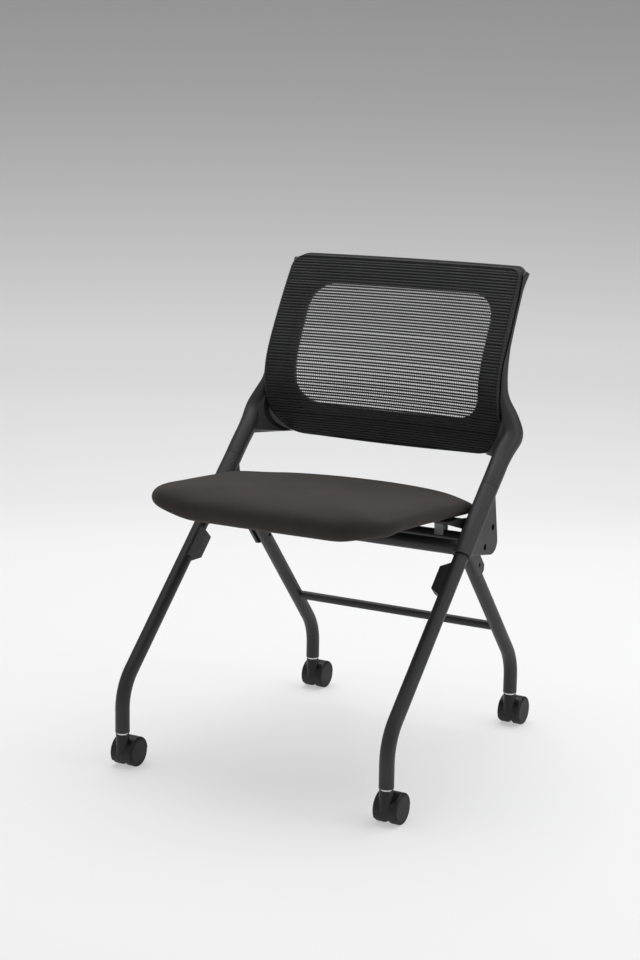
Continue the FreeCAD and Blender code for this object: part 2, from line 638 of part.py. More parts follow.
def hinge_bracket():
    """Ear round the pivot, an arm forward and a flange under the board."""
    arm = polygon([V(EAR_INNER_X, -FLANGE_END, FLANGE_LOW), V(EAR_INNER_X, -FLANGE_END, PAN_LOW),
                   V(EAR_INNER_X, -FLANGE_START, PAN_LOW), V(EAR_INNER_X, 0, EAR_R),
                   V(EAR_INNER_X, 0, -EAR_R), V(EAR_INNER_X, -FLANGE_START, PAN_LOW - ARM_DEPTH)])
    body = prism(arm, V(EAR_THICK, 0, 0))
    body = body.fuse(x_rod(EAR_INNER_X, EAR_OUTER_X, 0, 0, EAR_R))
    corner = V(EAR_OUTER_X - FLANGE_WIDTH, -FLANGE_END, FLANGE_LOW)
    flange = Part.makeBox(FLANGE_WIDTH, FLANGE_END - FLANGE_START, FLANGE_THICK, corner)
    body = body.fuse(flange).cut(x_rod(EAR_INNER_X, EAR_OUTER_X, 0, 0, BUSH_D / 2))
    for x, y in hinge_screw_places():
        body = body.cut(rod(V(x, y, FLANGE_LOW), V(0, 0, 1), SCREW_D / 2, FLANGE_THICK))
    return seat_placed(body.removeSplitter())


def hinge_bushes():
    """Sleeves in the ears that turn on the pivot bolts."""
    x0, x1 = LUG_OUTER_X + FACE_GAP, PLATE_INNER_X - FACE_GAP
    bore = x_rod(x0, x1, 0, 0, BOLT_D / 2 + RUNNING_FIT)
    return seat_placed(both(x_rod(x0, x1, 0, 0, BUSH_D / 2).cut(bore)))


def hinge_screws():
    pieces = []
    for x, y in hinge_screw_places():
        shank = rod(V(x, y, FLANGE_LOW), V(0, 0, 1), SCREW_D / 2, FLANGE_THICK + SCREW_BITE)
        head = rod(V(x, y, FLANGE_LOW - SCREW_HEAD_H), V(0, 0, 1), SCREW_HEAD_D / 2, SCREW_HEAD_H)
        pieces.append(shank.fuse(head))
    return seat_placed(both(Part.makeCompound(pieces)))


def stop_pads():
    """Blocks on the rest bar that the hinge flanges come down on."""
    tall = SEAT_AHEAD
    corner = V(EAR_OUTER_X - PAD_INSIDE - PAD_WIDTH / 2, REST_BAR.y - PAD_LENGTH / 2, REST_BAR.z)
    block = Part.makeBox(PAD_WIDTH, PAD_LENGTH, tall, corner)
    block = block.cut(x_rod(0, FRONT_X, REST_BAR.y, REST_BAR.z, REST_BAR_D / 2))
    above = Part.makeBox(SEAT_WIDTH, 4 * tall, 2 * tall, V(0, -2 * tall, FLANGE_LOW - FACE_GAP))
    return both(block.cut(seat_placed(above)))


def back_slab(near, far):
    """Doubly curved sheet between two depths behind the panel's front."""
    half = BACK_HALF + SLEEVE_D
    sag = BACK_SAG * (half / BACK_HALF) ** 2
    wires = []
    for rise, setback in BACK_PROFILE:
        z, edge = SEAM.z + rise, SEAM.y + setback - (sag - BACK_SAG)
        front = [V(-half, edge + near, z), V(0, edge + sag + near, z), V(half, edge + near, z)]
        rear = [V(half, edge + far, z), V(0, edge + sag + far, z), V(-half, edge + far, z)]
        wires.append(Part.Wire([arc(*front), line(front[2], rear[0]), arc(*rear), line(rear[2], front[0])]))
    return Part.makeLoft(wires, True, False)


def through_back(high_half, low_half, low, high, low_r, high_r):
    """Block with round corners and a bowed lower edge through the back."""
    def p(x, rise):
        return V(x, SEAM.y, SEAM.z + rise)
    corners = [(p(-low_half, low), low_r), (p(0, low - LOWER_BOW), LOWER_BOW_R), (p(low_half, low), low_r),
               (p(high_half, high), high_r), (p(-high_half, high), high_r)]
    return prism(rounded_outline(corners), V(0, PANEL_HIGH, 0))


def panel_block(grow):
    half = BACK_HALF + grow
    return through_back(half, half + BACK_SPREAD, PANEL_LOW - grow, PANEL_HIGH + grow, PANEL_LOW_R + grow,
                        PANEL_HIGH_R + grow)


def panel_half(rise):
    """Panel's half width at a rise above the seam."""
    return BACK_HALF + BACK_SPREAD * (PANEL_HIGH - rise) / (PANEL_HIGH - PANEL_LOW)


def window_block(grow):
    half = WINDOW_HALF + grow
    return through_back(half, half, WINDOW_LOW - grow, WINDOW_HIGH + grow, WINDOW_R + grow, WINDOW_R + grow)


def back_mesh():
    return back_slab(0, MESH_THICK).common(panel_block(0))


def back_setback(rise):
    """Panel's set back at its side edges for a rise, straight between stations."""
    for (low, a), (high, b) in zip(BACK_PROFILE, BACK_PROFILE[1:]):
        if rise <= high:
            return a + (b - a) * (rise - low) / (high - low)
    return BACK_PROFILE[-1][1]


def carrier_screw_places():
    """Screws in the border of the panel: x and rise above the seam."""
    low = (PANEL_LOW + WINDOW_LOW) / 2
    high = (PANEL_HIGH + WINDOW_HIGH) / 2
    inner = WINDOW_HALF * SCREW_SPREAD
    return [(x, rise) for rise in (low, high) for x in (-inner, 0.0, inner)]


def panel_bow(x):
    """Panel's set back at x behind its side edges."""
    return BACK_SAG * (1 - (x / BACK_HALF) ** 2)


def screw_seat(x, rise):
    """Depth of a screw head's seat, just inside the frame ring's rear face."""
    return SEAM.y + back_setback(rise) + panel_bow(x) + RING_FAR - SCREW_HEAD_H - SCREW_SUNK


def screw_bar(x, rise, near, far, radius):
    seat = screw_seat(x, rise)
    return rod(V(x, seat + near, SEAM.z + rise), V(0, 1, 0), radius, far - near)


def screw_tip():
    """Tip of a carrier screw from its head's seat."""
    return CARRIER_FAR - CARRIER_BITE - (RING_FAR - SCREW_HEAD_H - SCREW_SUNK)


def carrier_screws():
    pieces = []
    for x, rise in carrier_screw_places():
        shank = screw_bar(x, rise, screw_tip(), 0, SCREW_D / 2)
        pieces.append(shank.fuse(screw_bar(x, rise, 0, SCREW_HEAD_H, SCREW_HEAD_D / 2)))
    return Part.makeCompound(pieces)


def mesh_carrier():
    """Rim behind the mesh's edge, which sets the frame's ring back from the mesh."""
    ring = back_slab(CARRIER_NEAR, CARRIER_FAR).common(panel_block(0))
    ring = ring.cut(window_block(PANEL_HIGH - WINDOW_HIGH - CARRIER_WIDTH))
    for x, rise in carrier_screw_places():
        ring = ring.cut(screw_bar(x, rise, screw_tip(), 0, SCREW_D / 2))
    return ring


def rail_stations():
    """Middle, half width and half depth of the left upright and rail, from the seam up."""
    stations = []
    for rise, setback, flare, half_width, half_depth in UPRIGHT:
        stations.append((SEAM + V(flare, setback, rise), half_width, half_depth))
    for rise, beyond, half_width, half_depth in RAIL:
        y = SEAM.y + back_setback(rise) + RAIL_SETBACK
        stations.append((V(panel_half(rise) + beyond, y, SEAM.z + rise), half_width, half_depth))
    return stations


def ellipse_wire(middle, direction, half_width, half_depth):
    """Ellipse across a direction, its width along X."""
    depth = direction.cross(V(1, 0, 0)).normalize()
    width = depth.cross(direction).normalize()
    if half_width > half_depth:
        oval = Part.Ellipse(middle + width * half_width, middle + depth * half_depth, middle)
    else:
        oval = Part.Ellipse(middle + depth * (half_depth + 1e-3), middle + width * half_width, middle)
    return Part.Wire(oval.toShape())


def back_rail():
    """Left upright and side rail in one sweep of ovals."""
    stations = rail_stations()
    wires = []
    for i, (middle, half_width, half_depth) in enumerate(stations):
        before = stations[max(0, i - 1)][0]
        after = stations[min(len(stations) - 1, i + 1)][0]
        direction = UP_LEG if i == 0 else (after - before).normalize()
        wires.append(ellipse_wire(middle, direction, half_width, half_depth))
    return Part.makeLoft(wires, True, False, False, 2)


def back_gusset():
    """Web in the lower corner, twisting from inside the upright to the panel."""
    low, high = (V(FRONT_X, SEAM.y + setback, SEAM.z + rise) for rise, setback in WEB_ROOT)
    across = (high - low).cross(V(1, 0, 0)).normalize() * WEB_HALF
    root = [low - across, high - across, high + across, low + across]
    front = []
    for rise in (PANEL_LOW, WEB_HIGH):
        y = SEAM.y + back_setback(rise) + panel_bow(WEB_INNER_X)
        front.append(V(WEB_INNER_X, y, SEAM.z + rise))
    rear = [p + V(0, RING_FAR, 0) for p in reversed(front)]
    return Part.makeLoft([polygon(root), polygon(front + rear)], True, True)


def ring_corner():
    """Corner of the frame's ring that backs the groove between the panel and the web."""
    foot = V(WEB_INNER_X, SEAM.y, SEAM.z + PANEL_LOW)
    block = Part.makeBox(FRONT_X - WEB_INNER_X, PANEL_HIGH, WEB_HIGH - PANEL_LOW, foot)
    return back_slab(RING_NEAR, RING_FAR).common(panel_block(WEB_LIP)).common(block)


def upright_inserts():
    """Tubes that join the uprights to the brackets."""
    start = SEAM - UP_LEG * (INSERT_LENGTH / 2)
    tube = rod(start, UP_LEG, TUBE_R, INSERT_LENGTH)
    return both(tube.cut(rod(start, UP_LEG, TUBE_R - TUBE_WALL, INSERT_LENGTH)))


def back_frame():
    """Moulded ring with both uprights, seen through the mesh as the dark border."""
    ring = back_slab(RING_NEAR, RING_FAR).common(panel_block(PANEL_GAP)).cut(window_block(0))
    half = back_rail().fuse([back_gusset(), ring_corner()])
    half = half.cut(back_slab(-PANEL_LOW_R, RING_NEAR).common(panel_block(PANEL_GAP)))
    half = half.cut(rod(SEAM, UP_LEG, TUBE_R + SLIDE_FIT, INSERT_LENGTH / 2 + FACE_GAP))
    half = half.cut(rod(SEAM, UP_LEG, SLEEVE_D, SEAM_GAP))
    frame = ring.fuse([mirrored(half, side) for side in SIDES])
    for x, rise in carrier_screw_places():
        frame = frame.cut(screw_bar(x, rise, screw_tip(), 0, SCREW_D / 2))
        frame = frame.cut(screw_bar(x, rise, 0, RING_THICK, SCREW_HEAD_D / 2 + BOLT_CLEARANCE))
    return frame.removeSplitter()


def export(name, shape):
    shape.exportStep("parts/" + name + ".step")


def export_casters():
    for end, x, y in [("front", FRONT_X, FRONT_Y), ("rear", REAR_X, REAR_Y)]:
        for side, sign in SIDES.items():
            place = sign * x, y
            label = "_" + end + "_" + side
            export("caster_hood" + label, caster_hood(*place))
            export("caster_stem" + label, caster_stem(*place))
            export("caster_axle" + label, caster_axle(*place))
            export("wheel_outer" + label, caster_wheel(*place, sign))
            export("wheel_inner" + label, caster_wheel(*place, -sign))


def main():
    os.makedirs("parts", exist_ok=True)
    pairs = {"front_leg": front_leg(), "side_bracket": side_bracket(), "rear_leg": rear_leg(),
             "rear_leg_lug": rear_leg_lug(), "nesting_bumper": nesting_bumper(),
             "hinge_bracket": hinge_bracket()}
    for name, shape in pairs.items():
        for side in SIDES:
            export(name + "_" + side, mirrored(shape, side))
    singles = [rear_crossbar, seat_beam, rest_bar, pivot_bolts, leg_bolts, leg_nuts, leg_spacers,
               stop_pads, caster_sockets, upright_inserts, back_frame, mesh_carrier, back_mesh,
               carrier_screws, seat_cushion, seat_pan, hinge_bushes, hinge_screws]
    for make in singles:
        export(make.__name__, make())
    export_casters()


main()
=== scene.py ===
import bpy
import json
import math
from mathutils import Matrix, Vector
from mathutils.bvhtree import BVHTree


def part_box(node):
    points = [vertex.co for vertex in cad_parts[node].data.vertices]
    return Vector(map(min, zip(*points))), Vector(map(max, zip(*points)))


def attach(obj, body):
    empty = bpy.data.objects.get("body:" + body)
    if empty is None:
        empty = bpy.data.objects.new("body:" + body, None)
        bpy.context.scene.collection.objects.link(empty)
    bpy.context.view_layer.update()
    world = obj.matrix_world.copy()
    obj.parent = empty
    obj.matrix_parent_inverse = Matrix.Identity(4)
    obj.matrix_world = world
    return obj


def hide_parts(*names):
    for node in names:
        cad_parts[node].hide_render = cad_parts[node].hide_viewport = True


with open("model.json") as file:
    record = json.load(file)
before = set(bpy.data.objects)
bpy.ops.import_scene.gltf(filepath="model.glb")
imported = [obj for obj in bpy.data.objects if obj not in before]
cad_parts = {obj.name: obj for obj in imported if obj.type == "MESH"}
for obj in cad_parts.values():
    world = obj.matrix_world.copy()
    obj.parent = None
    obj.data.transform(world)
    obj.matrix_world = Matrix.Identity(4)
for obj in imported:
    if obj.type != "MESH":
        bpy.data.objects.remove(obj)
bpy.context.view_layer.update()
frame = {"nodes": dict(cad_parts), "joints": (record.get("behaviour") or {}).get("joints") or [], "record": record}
nodes = frame["nodes"]

# Camera of the photo, in degrees and metres; lens and sensor in millimetres
YAW = 29.761
PITCH = 11.374
ROLL = 0.9235
DISTANCE = 3.45187
TARGET = Vector((-0.0374, -0.0170, 0.48324))
LENS = 74.073
SENSOR = 36.0
CLIP_END = 60.0

# Floor and backdrop, in metres: level floor, a bend and a wall, which stand far enough back to leave
# room for a camera behind the chair; the floor is shaded level up to SWEEP_LEVEL
SWEEP_FRONT = -30.0
SWEEP_LEVEL = 1.0
SWEEP_HALF_WIDTH = 30.0
SWEEP_FLAT = 4.2
SWEEP_BEND = 2.4
SWEEP_BEND_STEPS = 24
SWEEP_HEIGHT = 7.0
# Its colour and its plain background tone, by distance behind the chair plus height
SWEEP_REACH = 10.0
SWEEP_COLOR = [(0.0, 0.9), (SWEEP_FLAT + 1.0, 0.9), (9.0, 0.4)]
SWEEP_GLOW = [(1.5, 0.98), (2.1, 0.88), (3.9, 1.0), (4.9, 0.95), (7.3, 0.46), (8.0, 0.38)]
SWEEP_BLUE = 1.006
# Share of the plain tone in what the camera, gloss and glass see of it
GLOW_SHARE = 0.45

# Strength of the light from all round
WORLD_STRENGTH = 0.38
# Soft lights: name, place, aim and size in metres, power in watts
LIGHTS = [
    ("overhead", (-0.2, 0.9, 3.3), (0.0, 0.1, 0.4), (4.2, 3.4), 100.0),
    ("front_fill", (-1.6, -3.2, 2.2), (0.0, 0.0, 0.5), (2.0, 2.0), 6.0),
    ("right_side", (2.6, 0.4, 1.5), (0.0, 0.1, 0.5), (1.2, 2.0), 12.0),
]

# Mesh of the back, in metres
WRAP = 0.0065
RIB_PITCH = 0.00565
RIB_HALF_HEIGHT = 0.0019
RIB_HALF_DEPTH = 0.0008
RIB_SIDES = 6
RIB_STEP = 0.005
RIB_LEAST_STEPS = 8
RIB_SHORTEST = 0.02
RIB_REACH_SHARE = 0.9985
RIB_TILT_SHARE = 0.98
# Rib ends turn round the panel's edge by these steps: outward and back
RIB_TURN = [(0.0011, 0.0009), (0.0014, WRAP)]
# Points at the +X end that a rib comes back to after its turn
RIB_RETURN = 2
THREAD_PITCH = 0.00375
THREAD_RADIUS = 0.0006
THREAD_SIDES = 4
THREAD_STEP = 0.004
THREAD_END_SHARE = 0.001
THREAD_DEPTH = 0.0003
THREAD_TURN = 0.0008
MESH_DEPTH = 0.0004
HEM_HALF_WIDTH = 0.0016
HEM_HALF_DEPTH = 0.0010
HEM_INSET = 0.0012
HEM_POINTS = 260
HEM_SIDES = 6
# Reading the panel: where rays start in front of it, how far past its box and from its middle its edge
# is looked for, and in how many halvings
RAY_START = 0.1
EDGE_MARGIN = 0.01
EDGE_LIMIT = 0.5
HALVINGS = 22
# Steps for reading the panel: along its slope, for its tilt, and in from its ends
WALK_STEP = 0.001
TILT_STEP = 0.002
END_INSET = 0.002

# Seat cushion in its own level frame, in degrees and metres
SEAT_TILT = 4.1
SEAT_RISE = 0.0175
SEAT_EDGE_HEIGHT = 0.010
SEAT_EDGE_POINTS = 150
SEAT_EDGE_RAYS = 1440
SEAT_SWELL = 0.003
# Where the front lip fades, by distance from the front, and its loss toward the corners
LIP_START = 0.024
LIP_END = 0.066
LIP_CORNER = 0.62
LIP_CORNER_START = 0.145
LIP_CORNER_END = 0.234
# Where the rear's section takes over, by distance from the rear
REAR_START = 0.170
REAR_END = 0.070
# Rings from the middle of the top over the edge to the underside: inset and height
SIDE_RINGS = [(0.190, 0.0292), (0.150, 0.0292), (0.112, 0.0291), (0.082, 0.0289), (0.058, 0.0285),
              (0.039, 0.0281), (0.0250, 0.0275), (0.0140, 0.0266), (0.0062, 0.0250), (0.0014, 0.0218),
              (0.0000, 0.0165), (0.0010, 0.0108), (0.0044, 0.0052), (0.0100, 0.0010),
              (0.0180, -0.0010), (0.0235, 0.0016), (0.0260, 0.0068), (0.0900, 0.0068)]
REAR_RINGS = [(0.190, 0.0292), (0.150, 0.0289), (0.112, 0.0282), (0.082, 0.0271), (0.058, 0.0255),
              (0.039, 0.0234), (0.0250, 0.0210), (0.0145, 0.0183), (0.0070, 0.0151), (0.0022, 0.0113),
              (0.0002, 0.0075), (0.0010, 0.0035), (0.0045, 0.0008), (0.0110, -0.0004),
              (0.0190, 0.0002), (0.0240, 0.0034), (0.0260, 0.0068), (0.0900, 0.0068)]
FRONT_RINGS = [(0.190, 0.0291), (0.152, 0.0289), (0.118, 0.0284), (0.090, 0.0275), (0.067, 0.0261),
               (0.048, 0.0242), (0.0325, 0.0218), (0.0200, 0.0188), (0.0110, 0.0152), (0.0048, 0.0106),
               (0.0012, 0.0050), (0.0000, -0.0020), (0.0018, -0.0095), (0.0068, -0.0168),
               (0.0160, -0.0225), (0.0320, -0.0252), (0.0650, -0.0180), (0.1400, 0.0068)]
# Cover's simulation: frames run, the downward slope that is held, passes that even out its moves, and
# the farthest move in metres
PUFF_FRAMES = 20
PUFF_HELD_SLOPE = -0.5
PUFF_PASSES = 40
PUFF_LIMIT = 0.003

# Painted and moulded finishes by slot: darker tone, lighter tone, roughness, grain scale, grain height
FINISHES = {
    "frame_paint": ((0.013, 0.013, 0.0135), (0.017, 0.017, 0.0175), 0.48, 1400.0, 0.00012),
    "bracket_paint": ((0.018, 0.018, 0.0185), (0.023, 0.023, 0.0235), 0.52, 1300.0, 0.00014),
    "back_plastic": ((0.014, 0.014, 0.0145), (0.018, 0.018, 0.0185), 0.5, 1600.0, 0.0001),
    "carrier_plastic": ((0.006, 0.006, 0.007), (0.009, 0.009, 0.01), 0.6, 1200.0, 0.0001),
    "mesh": ((0.012, 0.0125, 0.014), (0.018, 0.0185, 0.02), 0.62, 2400.0, 0.0001),
    "pan_plastic": ((0.008, 0.008, 0.008), (0.012, 0.012, 0.012), 0.6, 900.0, 0.0001),
    "hinge_steel": ((0.012, 0.012, 0.013), (0.018, 0.018, 0.019), 0.42, 1100.0, 0.0001),
    "dark_screw": ((0.012, 0.012, 0.013), (0.02, 0.02, 0.021), 0.38, 800.0, 0.00005),
    "pad_plastic": ((0.33, 0.335, 0.34), (0.4, 0.405, 0.41), 0.5, 700.0, 0.0001),
    "bumper_plastic": ((0.008, 0.008, 0.009), (0.012, 0.012, 0.013), 0.5, 1200.0, 0.0001),
    "hood_plastic": ((0.0055, 0.0055, 0.006), (0.008, 0.008, 0.0085), 0.4, 1800.0, 0.00006),
    "wheel_plastic": ((0.006, 0.006, 0.0065), (0.009, 0.009, 0.0095), 0.5, 1500.0, 0.0001),
    "stem_steel": ((0.6, 0.6, 0.61), (0.68, 0.68, 0.69), 0.22, 600.0, 0.00002),
    "axle_steel": ((0.42, 0.42, 0.43), (0.5, 0.5, 0.51), 0.3, 600.0, 0.00003),
    "socket_plastic": ((0.01, 0.01, 0.01), (0.014, 0.014, 0.014), 0.5, 900.0, 0.0001),
}
METALLIC = {"dark_screw": 0.6, "stem_steel": 1.0, "axle_steel": 1.0}
SPECULAR = {"hood_plastic": 0.35, "wheel_plastic": 0.3}
PLAIN_SPECULAR = 0.5
# Scale and detail of the noise in tone and in sheen, the sheen's spread, and the grain's strength
TONE_NOISE = (9.0, 4.0)
TONE_SPAN = (0.35, 0.65)
SHEEN_NOISE = (23.0, 3.0)
SHEEN_SPAN = (0.3, 0.7)
SHEEN_SPREAD = 0.05
GRAIN_DETAIL = 2.0
GRAIN_STRENGTH = 0.35
# Seat's cover: two tones, thread scale, roughness, and the noise of its tone
COVER_TONES = ((0.030, 0.0242, 0.0228), (0.037, 0.0302, 0.0285))
COVER_THREAD = 520.0
COVER_ROUGHNESS = 0.85
COVER_SPECULAR = 0.25
COVER_NOISE = (14.0, 5.0)
COVER_SHEEN = {"Sheen Weight": 0.2, "Sheen Roughness": 0.45, "Sheen Tint": (0.32, 0.27, 0.25, 1.0)}
COVER_WAVE = {"Scale": COVER_THREAD, "Distortion": 0.6, "Detail": 1.0}
COVER_BUMP = (0.3, 0.0003)


def make_material(name, color, roughness, metallic=0.0, specular=PLAIN_SPECULAR):
    """Plain principled material, its constant values set on the sockets."""
    material = bpy.data.materials.new(name)
    material.use_nodes = True
    shader = material.node_tree.nodes["Principled BSDF"]
    shader.inputs["Base Color"].default_value = (*color, 1.0)
    shader.inputs["Roughness"].default_value = roughness
    shader.inputs["Metallic"].default_value = metallic
    shader.inputs["Specular IOR Level"].default_value = specular
    return material


def noise(material, scale, detail):
    """Noise over the object's own coordinates."""
    tree = material.node_tree
    place = tree.nodes.new("ShaderNodeTexCoord")
    texture = tree.nodes.new("ShaderNodeTexNoise")
    texture.inputs["Scale"].default_value = scale
    texture.inputs["Detail"].default_value = detail
    tree.links.new(place.outputs["Object"], texture.inputs["Vector"])
    return texture.outputs["Fac"]


def add_bump(material, height, strength, distance):
    """Fine relief from a height."""
    tree = material.node_tree
    bump = tree.nodes.new("ShaderNodeBump")
    bump.inputs["Strength"].default_value = strength
    bump.inputs["Distance"].default_value = distance
    tree.links.new(height, bump.inputs["Height"])
    tree.links.new(bump.outputs["Normal"], tree.nodes["Principled BSDF"].inputs["Normal"])


def add_mottle(material, factor, low, high):
    """Base colour between two tones by a factor."""
    tree = material.node_tree
    ramp = tree.nodes.new("ShaderNodeValToRGB")
    for stop, position, color in zip(ramp.color_ramp.elements, TONE_SPAN, (low, high)):
        stop.position = position
        stop.color = (*color, 1.0)
    tree.links.new(factor, ramp.inputs["Fac"])
    tree.links.new(ramp.outputs["Color"], tree.nodes["Principled BSDF"].inputs["Base Color"])


def add_wear(material, factor, low, high):
    """Roughness between two values by a factor."""
    tree = material.node_tree
    spread = tree.nodes.new("ShaderNodeMapRange")
    spread.inputs["From Min"].default_value, spread.inputs["From Max"].default_value = SHEEN_SPAN
    spread.inputs["To Min"].default_value = low
    spread.inputs["To Max"].default_value = high
    tree.links.new(factor, spread.inputs["Value"])
    tree.links.new(spread.outputs["Result"], tree.nodes["Principled BSDF"].inputs["Roughness"])


def textured(slot):
    """Painted or moulded surface: slightly uneven tone and sheen, and a fine grain."""
    low, high, roughness, grain, grain_height = FINISHES[slot]
    metallic = METALLIC.get(slot, 0.0)
    material = make_material(slot, high, roughness, metallic, SPECULAR.get(slot, PLAIN_SPECULAR))
    add_mottle(material, noise(material, *TONE_NOISE), low, high)
    add_wear(material, noise(material, *SHEEN_NOISE), roughness - SHEEN_SPREAD, roughness + SHEEN_SPREAD)
    add_bump(material, noise(material, grain, GRAIN_DETAIL), GRAIN_STRENGTH, grain_height)
    return material


def woven(slot):
    """Fine plain weave for the seat's cover."""
    low, high = COVER_TONES
    material = make_material(slot, high, COVER_ROUGHNESS, specular=COVER_SPECULAR)
    tree = material.node_tree
    for socket, value in COVER_SHEEN.items():
        tree.nodes["Principled BSDF"].inputs[socket].default_value = value
    place = tree.nodes.new("ShaderNodeTexCoord")
    both = tree.nodes.new("ShaderNodeMath")
    both.operation = "MULTIPLY"
    for k, direction in enumerate(("X", "Y")):
        wave = tree.nodes.new("ShaderNodeTexWave")
        wave.bands_direction = direction
        for socket, value in COVER_WAVE.items():
            wave.inputs[socket].default_value = value
        tree.links.new(place.outputs["Object"], wave.inputs["Vector"])
        tree.links.new(wave.outputs["Fac"], both.inputs[k])
    add_mottle(material, noise(material, *COVER_NOISE), low, high)
    add_bump(material, both.outputs["Value"], *COVER_BUMP)
    return material


MATERIALS = {slot: textured(slot) for slot in FINISHES}
MATERIALS["seat_fabric"] = woven("seat_fabric")


def paint_nodes():
    """Every CAD node takes the finish of its slot in the record."""
    for part in frame["record"]["subparts"]:
        mesh = nodes[part["node"]].data
        mesh.materials.clear()
        mesh.materials.append(MATERIALS[part["material_slot"]])


def new_object(name, vertices, faces, slot):
    """Smooth-shaded piece with the finish of a slot."""
    mesh = bpy.data.meshes.new(name)
    mesh.from_pydata(vertices, [], faces)
    mesh.update()
    mesh.shade_smooth()
    obj = bpy.data.objects.new(name, mesh)
    bpy.context.scene.collection.objects.link(obj)
    mesh.materials.append(MATERIALS[slot])
    return obj


class Tubes:
    """Collects closed tubes swept along point rows into one mesh."""

    def __init__(self):
        self.vertices = []
        self.faces = []

    def sweep(self, points, across, half_across, half_along, sides):
        """Tube about a row of points, its section lying in across and the side of each step."""
        start = len(self.vertices)
        last = len(points) - 1
        for i, point in enumerate(points):
            step = (points[min(i + 1, last)] - points[max(i - 1, 0)]).normalized()
            outward = step.cross(across[i]).normalized()
            upward = outward.cross(step).normalized()
            for k in range(sides):
                turn = 2 * math.pi * (k + 0.5) / sides
                offset = upward * (half_across * math.cos(turn)) + outward * (half_along * math.sin(turn))
                self.vertices.append(point + offset)
        for i in range(last):
            for k in range(sides):
                a = start + i * sides + k
                b = start + i * sides + (k + 1) % sides
                self.faces.append((a, b, b + sides, a + sides))
        self.faces.append(tuple(start + k for k in reversed(range(sides))))
        self.faces.append(tuple(start + last * sides + k for k in range(sides)))


def last_inside(is_inside, inside, outside):
    """Last value from inside toward outside that the test still accepts, by halving."""
    for _ in range(HALVINGS):
        half = (inside + outside) / 2
        if is_inside(half):
            inside = half
        else:
            outside = half
    return inside


class Panel:
    """Front of the CAD mesh sheet, read by rays along +Y."""

    def __init__(self, node):
        mesh = nodes[node].data
        polygons = [tuple(p.vertices) for p in mesh.polygons]
        self.tree = BVHTree.FromPolygons([v.co.copy() for v in mesh.vertices], polygons)
        low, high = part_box(node)
        self.low, self.high = Vector(low), Vector(high)
        self.middle = (self.low.z + self.high.z) / 2

    def depth(self, x, z):
        """Y of the front at x and z, or None beside the panel."""
        hit = self.tree.ray_cast(Vector((x, self.low.y - RAY_START, z)), Vector((0, 1, 0)))
        return None if hit[0] is None else hit[0].y

    def covers(self, x, z):
        """Whether the panel is there at x and z."""
        return self.depth(x, z) is not None

    def reach(self, z):
        """Half width at a height."""
        return last_inside(lambda x: self.covers(x, z), 0.0, self.high.x + EDGE_MARGIN)

    def span(self, x):
        """Lowest and highest point at a distance from the middle."""
        limits = (self.low.z - EDGE_MARGIN, self.high.z + EDGE_MARGIN)
        return [last_inside(lambda z: self.covers(x, z), self.middle, limit) for limit in limits]

    def outline(self):
        """Points round the panel's edge, a little inside it."""
        points = []
        for i in range(HEM_POINTS):
            turn = 2 * math.pi * i / HEM_POINTS
            across, up = math.sin(turn), math.cos(turn)
            edge = last_inside(lambda r: self.covers(r * across, self.middle + r * up), 0.0, EDGE_LIMIT)
            x, z = (edge - HEM_INSET) * across, self.middle + (edge - HEM_INSET) * up
            points.append(Vector((x, self.depth(x, z) + MESH_DEPTH, z)))
        return points

    def tilt(self, x, z):
        """Direction up the panel at a place."""
        above, below = self.depth(x, z + TILT_STEP), self.depth(x, z - TILT_STEP)
        rise = 2 * TILT_STEP
        if above is None or below is None:
            here = self.depth(x, z)
            above = here if above is None else above
            below = here if below is None else below
            rise = TILT_STEP
        return Vector((0, above - below, rise)).normalized()

    def flat_size(self):
        """Width and length of the cloth before it is stretched, with its wrap at each edge."""
        lean = self.depth(0, self.high.z - END_INSET) - self.depth(0, self.low.z + END_INSET)
        length = math.hypot(self.high.z - self.low.z, lean)
        return self.high.x - self.low.x + 2 * WRAP, length + 2 * WRAP


def even_rows(panel):
    """Heights that lie one rib pitch apart along the panel's middle."""
    low, high = panel.span(0.0)
    rows = [low + RIB_HALF_HEIGHT]
    walked = 0.0
    z = rows[0]
    y = panel.depth(0.0, z)
    while z + WALK_STEP < high - RIB_HALF_HEIGHT:
        z += WALK_STEP
        y_next = panel.depth(0.0, z)
        walked += math.hypot(WALK_STEP, y_next - y)
        y = y_next
        if walked >= RIB_PITCH:
            rows.append(z)
            walked -= RIB_PITCH
    return rows


def add_ribs(tubes, panel):
    """Flat ribs across the back, their ends turned round its edge."""
    for z in even_rows(panel):
        reach = min(panel.reach(z - RIB_HALF_HEIGHT), panel.reach(z + RIB_HALF_HEIGHT))
        if reach < RIB_SHORTEST:
            continue
        count = max(RIB_LEAST_STEPS, int(reach / RIB_STEP))
        row = []
        up = []
        for i in range(-count, count + 1):
            x = reach * i / count * RIB_REACH_SHARE
            row.append(Vector((x, panel.depth(x, z) + MESH_DEPTH, z)))
            up.append(panel.tilt(x * RIB_TILT_SHARE, z))
        first, last = row[0], row[-1]
        for outward, back in RIB_TURN:
            row.insert(0, first + Vector((-outward, back, 0)))
            row.insert(-RIB_RETURN, last + Vector((outward, back, 0)))
            up.insert(0, up[0])
            up.insert(-RIB_RETURN, up[-1])
        tubes.sweep(row, up, RIB_HALF_HEIGHT, RIB_HALF_DEPTH, RIB_SIDES)


def add_hem(tubes, panel):
    """Flat hem round the edge, closed by running on over its start."""
    hem = panel.outline()
    hem += hem[:2]
    tubes.sweep(hem, [Vector((0, 1, 0))] * len(hem), HEM_HALF_DEPTH, HEM_HALF_WIDTH, HEM_SIDES)


